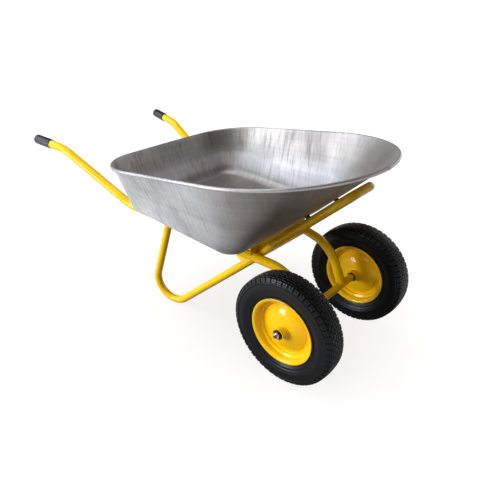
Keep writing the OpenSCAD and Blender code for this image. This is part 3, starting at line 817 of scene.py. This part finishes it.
def rims():
    """Two pressed halves on each wheel, with a round of weld on the hub at each face."""
    outer = lathe(rim_profile(), RIM_STEPS)
    inner = outer.moved(lambda p: (p[0], -p[1], p[2]))
    weld_ring = [(HUB_R + 0.3 + HUB_WELD_W * math.cos(a), DOME_H + 1.4 + HUB_WELD_H * math.sin(a))
                 for a in round_angles(16)]
    for side, sign in SIDES:
        place = about_axle(sign, TRACK_HALF)
        for shape, name in ((outer, "outer_rim"), (inner, "inner_rim")):
            piece(f"{side}_{name}_pressed", shape.moved(place), side + "_wheel", "yellow_paint",
                  [f"{side}_{name}"], 50)
        for face, name in ((1, "outer"), (-1, "inner")):
            bead = lathe([(r, face * w) for r, w in weld_ring], NUT_STEPS)
            piece(f"{side}_hub_weld_{name}", bead.moved(place), side + "_wheel", "yellow_paint")


rims()


# Tyres: a moulded outline with a block tread sunk into it
def tyre_outline():
    """Points of one side from the middle of the crown to the bead."""
    shoulder_w, shoulder_drop, crown = 0.83 * TYRE_HALF, 9.0, 3.0
    belly_drop, side_power, toe = 4, 1.3, 5
    belly = (TYRE_R + RIM_R) / 2 - belly_drop
    flange_r, flange_w = FLANGE - SEAT, RIM_HALF - FLANGE - RIM_T
    low, high = RIM_R + 3, TYRE_R - shoulder_drop
    bead_in = TYRE_HALF - (flange_w + flange_r) + 2.5
    shoulder_in = TYRE_HALF - shoulder_w - 2
    line = [(TYRE_R - crown * (w / shoulder_w) ** 2, w) for w in np.linspace(0, shoulder_w, 12)]
    line += [(belly + (high - belly) * math.sin(a), TYRE_HALF - shoulder_in * (1 - math.cos(a)))
             for a in np.radians(np.linspace(90, 0, 20))]
    line += [(belly - (belly - low) * t, TYRE_HALF - bead_in * t ** side_power)
             for t in np.linspace(0.05, 1, 20)]
    line += [(RIM_R - flange_r * math.sin(a), flange_w + flange_r * math.cos(a))
             for a in np.radians(np.linspace(0, 90, 8))]
    line.append((RIM_R - flange_r, flange_w - toe))
    return np.array(rounded(line, 3.0, 3))


def step(x, edge, soft):
    t = np.clip((x - edge) / soft + 0.5, 0, 1)
    return t * t * (3 - 2 * t)


def tread(s, t, sign):
    """Depth of the tread's grooves at a length s from the crown and a share t of the pitch."""
    zig = np.abs((t * 2) % 2 - 1) - 0.5
    turn = 0.5 if sign < 0 else 0.0

    def groove(centre):
        return 1 - step(np.abs(s - centre), GROOVE_HALF, 1.2)

    def slot(at, half, start, end):
        gap = np.abs((turn + at + t) % 1.0 - 0.5)
        return (1 - step(gap, half, 0.06)) * step(s, start, 1.2) * (1 - step(s, end, 1.6))

    cuts = [GROOVE_DEPTH * groove(centre + swing * zig) for centre, swing in GROOVES]
    cuts += [BLOCK_DEPTH * slot(at, BLOCK_GAP, start, end) for start, end, at in BLOCKS]
    cuts += [LUG_DEPTH * slot(0.5, LUG_GAP, *LUGS), SIPE_DEPTH * slot(0.0, SIPE_GAP, *SIPES)]
    return np.maximum.reduce(cuts)


def tyres():
    half = tyre_outline()
    lengths = np.r_[0, np.cumsum(np.linalg.norm(np.diff(half, axis=0), axis=1))]
    total = lengths[-1]
    at = np.r_[np.arange(0, TREAD_LEN, TREAD_STEP), np.arange(TREAD_LEN, total, SIDE_STEP), total]
    line = np.c_[np.interp(at, lengths, half[:, 0]), np.interp(at, lengths, half[:, 1])]
    way = unit_rows(np.gradient(line, at, axis=0))
    normal = np.c_[way[:, 1], -way[:, 0]]
    raised = np.zeros(len(at))
    for centre, half_w, rise in SIDE_RINGS:
        raised += rise * (1 - step(np.abs(at - centre), half_w, 1.6))
    rows = []
    for i, a in enumerate(round_angles(PITCHES * PER_PITCH)):
        walls = []
        for sign in (1, -1):
            depth = tread(at, (i % PER_PITCH) / PER_PITCH, sign) - raised
            p = line - normal * depth[:, None]
            walls.append(np.c_[p[:, 0], sign * p[:, 1], np.full(len(p), a)])
        hollow = [[TYRE_HOLLOW_R, TYRE_HOLLOW_HALF, a], [TYRE_HOLLOW_R, -TYRE_HOLLOW_HALF, a]]
        rows.append(np.vstack([walls[0], hollow, walls[1][:0:-1]]))
    shape = Shape()
    shape.grid(rows, close_n=True, close_m=True)
    for side, sign in SIDES:
        placed = shape.moved(about_axle(sign, TRACK_HALF))
        piece(side + "_tyre_moulded", placed, side + "_wheel", "tyre_rubber", [side + "_tyre"], 40)


tyres()

# Axle: a square bar with eased edges, and turned ends with a thread
AXLE_SHOULDER = TRACK_HALF - HUB_HALF - HUB_ROOM
AXLE_WASHER = TRACK_HALF + HUB_HALF + HUB_ROOM
JOURNAL_R = 7.45
THREAD_R = 5.95
THREAD_ROOT_R = 5.25
THREAD_PITCH = 1.75
THREAD_PAST_NUT = 1.2


def axle():
    ease, chamfer, end_share = 2.0, 0.8, 0.94
    corners = []
    for k in range(4):
        centre = (AXLE_BAR_HALF - ease) * np.array([1 if k in (0, 3) else -1, 1 if k in (0, 1) else -1])
        for a in np.linspace(0, math.pi / 2, 6):
            corners.append(centre + ease * ray(a + k * math.pi / 2))
    rows = []
    for y, k in ((-AXLE_SHOULDER, end_share), (-AXLE_SHOULDER + chamfer, 1.0),
                 (AXLE_SHOULDER - chamfer, 1.0), (AXLE_SHOULDER, end_share)):
        rows.append([(AXLE_X + k * c[0], y, AXLE_H + k * c[1]) for c in corners])
    bar = Shape()
    bar.grid(rows, close_m=True, cap_first=True, cap_last=True)
    piece("axle_bar", bar, "frame", "yellow_paint", ["axle_beam"])

    end = AXLE_WASHER + AXLE_WASHER_T + AXLE_NUT_H + THREAD_PAST_NUT
    profile = [(JOURNAL_R, AXLE_SHOULDER - 2), (JOURNAL_R, AXLE_WASHER - 0.6), (6.0, AXLE_WASHER)]
    y = AXLE_WASHER
    while y < end - 1.6:
        profile += [(THREAD_R, y + 0.4), (THREAD_ROOT_R, y + 0.85), (THREAD_R, y + 1.3)]
        y += THREAD_PITCH
    profile += [(5.0, end), (2.2, end), (0.0, end - 0.6)]
    spindle = lathe(profile, 40, closed=False)
    ends = Shape()
    for _, sign in SIDES:
        ends.join(spindle.moved(about_axle(sign)))
    piece("axle_spindles", ends, "frame", "dark_steel")


axle()


# Lock nuts: a hexagon with eased corners and a round collar
def lock_nuts():
    flat_r, body, top = 9.5, 7.2, AXLE_NUT_H
    angles = round_angles(NUT_STEPS)
    hexagon = flat_r / np.cos((angles + math.pi / 6) % (math.pi / 3) - math.pi / 6)
    outline = [(0.0, 0.0), (0.5, 0.6), (1.0, 1.6), (body - 1.2, 1.6), (body - 0.6, 0.7), (body, 0.0)]
    collar = [(8.6, body), (8.6, top - 1.4), (8.2, top - 0.5), (7.4, top),
              (6.6, top - 0.3), (6.2, top - 1.2), (6.1, 0.0)]
    rows = []
    for h, a in zip(hexagon, angles):
        sides = [(min(h, flat_r + past), w) for w, past in outline]
        rows.append([(r, w, a) for r, w in sides + collar])
    nut = Shape()
    nut.grid(rows, close_n=True, close_m=True)
    nuts = Shape()
    for _, sign in SIDES:
        nuts.join(nut.moved(about_axle(sign, AXLE_WASHER + AXLE_WASHER_T)))
    piece("axle_lock_nuts", nuts, "frame", "bright_steel", ["axle_nuts"], 30)


lock_nuts()


# Valves: a short stem and cap in the well of each rim, as radius and distance from the axle
def valves():
    turn, offset = math.radians(45.0), 7.0
    profile = [(0.0, 85.6), (2.6, 85.6), (3.4, 86.2), (3.4, 89.6), (2.75, 90.0), (2.75, 112.0)]
    out = np.array([math.cos(turn), 0, math.sin(turn)])
    across = np.array([-math.sin(turn), 0, math.cos(turn)])
    outward_y = np.array([0, 1, 0])
    for side, sign in SIDES:
        centre = np.array([AXLE_X, sign * (TRACK_HALF + offset), AXLE_H])
        rows = []
        for a in round_angles(20):
            spoke = math.cos(a) * across + math.sin(a) * outward_y
            rows.append([centre + out * far + r * spoke for r, far in profile])
        shape = Shape()
        shape.grid(rows, close_n=True)
        piece(side + "_valve_cap", shape, side + "_wheel", "black_plastic", [side + "_valve"])


valves()


# Grips: moulded sleeves with a round end
def grips():
    r, length, bore = GRIP_R, GRIP_LEN, TUBE_R + 0.2
    profile = [(r * math.sin(t), GRIP_DOME * (1 - math.cos(t)) + 0.1)
               for t in np.linspace(0.02, math.pi / 2, 14)]
    profile += [(r, length * 0.5), (r, length - 2.6), (r - 0.3, length - 0.8), (r - 1.0, length - 0.1),
                (bore, length - 0.1), (bore, length - 12)]
    shape = Shape()
    shape.grid([ring(GRIP_END + far * HANDLE_WAY, HANDLE_WAY, wide, TUBE_SIDES) for wide, far in profile],
               close_m=True, cap_first=True)
    for side, sign in SIDES:
        piece(side + "_grip_sleeve", on_side(shape, sign), "frame", "black_plastic", [side + "_grip"], 40)


grips()

# Floor, light and camera, in metres
FLOOR_EDGE = 40
WHITE = (1.0, 1.0, 1.0, 1.0)
# Painted shadow: the floor's white glow is lower round a point below the object, as seen by the camera and
# in mirrors
SEEN_PAINTED_SHADOW = dict(centre=(0.25, 0, 0), low=0.78, start=0.15, end=0.85)
MIRRORED_PAINTED_SHADOW = dict(centre=(0.45, 0.05, 0), low=0.12, start=0.25, end=0.95)
ROOM_COLOUR = (1.0, 0.72, 0.50, 1.0)
ROOM_STRENGTH = 0.17
HORIZON = 0.12
DAY = (0.95, 0.975, 1.0)
PLAIN = (1.0, 1.0, 1.0)

# Name, place, target, width, height, power and colour
LAMPS = (
    ("key", (-1.7, -3.3, 0.55), (0.4, 0.0, 0.25), 1.1, 1.0, 85, PLAIN),
    ("window", (-2.9, -2.4, 2.5), (0.1, 0.0, 0.45), 4.4, 3.2, 150, DAY),
    ("front", (2.6, 2.4, 1.7), (0.0, 0.0, 0.5), 2.5, 2.5, 10, PLAIN),
    ("fill", (0.7, -2.6, 2.2), (0.0, 0.2, 0.5), 1.5, 1.5, 15, PLAIN),
    ("back", (0.6, 3.6, 1.3), (0.0, 0.0, 0.4), 2.0, 2.0, 22, PLAIN),
    ("top", (-0.8, 0.2, 4.0), (0.1, 0.0, 0.3), 2.5, 2.5, 55, PLAIN),
)

# The photo's view: focal length and width in pixels, place and axes of the camera
FOCAL_PX = 482.7
PHOTO_PX = 500.0
SENSOR = 36.0
CAMERA_PLACE = (1.151, -1.211, 1.159)
CAMERA_RIGHT = Vector((0.7600, 0.6480, 0.0499))
CAMERA_DOWN = Vector((0.3660, -0.3632, -0.8568))
CAMERA_FORWARD = Vector((-0.5371, 0.6694, -0.5132))


def white_floor():
    """A pale floor that keeps the object's shadow, with a painted shadow in its glow round the object, and
    goes to plain white further out.
    """
    material, tree, bsdf = shader("floor_white")
    bsdf.inputs["Base Color"].default_value = (0.20, 0.185, 0.17, 1)
    bsdf.inputs["Roughness"].default_value = 1.0
    bsdf.inputs["Specular IOR Level"].default_value = 0.0
    bsdf.inputs["Emission Color"].default_value = WHITE
    place = add(tree, "ShaderNodeTexCoord")
    path = add(tree, "ShaderNodeLightPath")

    def glow(rays, centre, low, start, end):
        """White seen by some rays, lower round a point below the object: a painted shadow."""
        far = add(tree, "ShaderNodeVectorMath", operation="DISTANCE")
        far.inputs[1].default_value = centre
        tree.links.new(place.outputs["Object"], far.inputs[0])
        return maths(tree, "MULTIPLY", spread(tree, far.outputs["Value"], low, 1.0, start, end),
                     path.outputs[rays])

    total = glow("Is Camera Ray", **SEEN_PAINTED_SHADOW)
    for rays in ("Is Glossy Ray", "Is Transmission Ray"):
        total = maths(tree, "ADD", total, glow(rays, **MIRRORED_PAINTED_SHADOW))
    tree.links.new(total, bsdf.inputs["Emission Strength"])
    return material


def area_light(name, place, target, width, height, power, colour):
    data = bpy.data.lights.new(name, "AREA")
    data.shape = "RECTANGLE"
    data.size = width
    data.size_y = height
    data.energy = power
    data.color = colour
    light = bpy.data.objects.new(name, data)
    light.location = place
    light.rotation_euler = (Vector(target) - Vector(place)).to_track_quat("-Z", "Y").to_euler()
    bpy.context.scene.collection.objects.link(light)


def studio():
    """A dim warm room that is white where it is seen, and low down where it is mirrored."""
    world = bpy.data.worlds.new("studio")
    world.use_nodes = True
    tree = world.node_tree
    room = tree.nodes["Background"]
    room.inputs["Color"].default_value = ROOM_COLOUR
    room.inputs["Strength"].default_value = ROOM_STRENGTH
    white = add(tree, "ShaderNodeBackground", in_Color=WHITE)
    path = add(tree, "ShaderNodeLightPath")
    place = add(tree, "ShaderNodeTexCoord")
    height = parts_of(tree, place.outputs["Generated"])["Z"]
    low = spread(tree, height, 1.0, 0.0, 0.0, HORIZON)
    seen = maths(tree, "MAXIMUM", path.outputs["Is Camera Ray"], path.outputs["Is Transmission Ray"])
    seen = maths(tree, "MAXIMUM", seen, maths(tree, "MULTIPLY", path.outputs["Is Glossy Ray"], low))
    mix = add(tree, "ShaderNodeMixShader")
    tree.links.new(seen, mix.inputs["Fac"])
    tree.links.new(room.outputs["Background"], mix.inputs[1])
    tree.links.new(white.outputs["Background"], mix.inputs[2])
    tree.links.new(mix.outputs["Shader"], tree.nodes["World Output"].inputs["Surface"])
    return world


def photo_camera():
    data = bpy.data.cameras.new("camera")
    data.sensor_width = SENSOR
    data.lens = FOCAL_PX / PHOTO_PX * SENSOR
    data.clip_end = 200.0
    camera = bpy.data.objects.new("camera", data)
    turn = Matrix((CAMERA_RIGHT, -CAMERA_DOWN, -CAMERA_FORWARD)).transposed().to_4x4()
    camera.matrix_world = Matrix.Translation(CAMERA_PLACE) @ turn
    bpy.context.scene.collection.objects.link(camera)
    return camera


floor_mesh = bpy.data.meshes.new("floor")
floor_mesh.from_pydata([(-FLOOR_EDGE, -FLOOR_EDGE, 0), (FLOOR_EDGE, -FLOOR_EDGE, 0),
                        (FLOOR_EDGE, FLOOR_EDGE, 0), (-FLOOR_EDGE, FLOOR_EDGE, 0)], [], [(0, 1, 2, 3)])
floor_mesh.materials.append(white_floor())
floor = bpy.data.objects.new("floor", floor_mesh)
bpy.context.scene.collection.objects.link(floor)

for lamp in LAMPS:
    area_light(*lamp)
bpy.context.scene.world = studio()
bpy.context.scene.view_settings.view_transform = "Standard"
bpy.context.scene.camera = photo_camera()
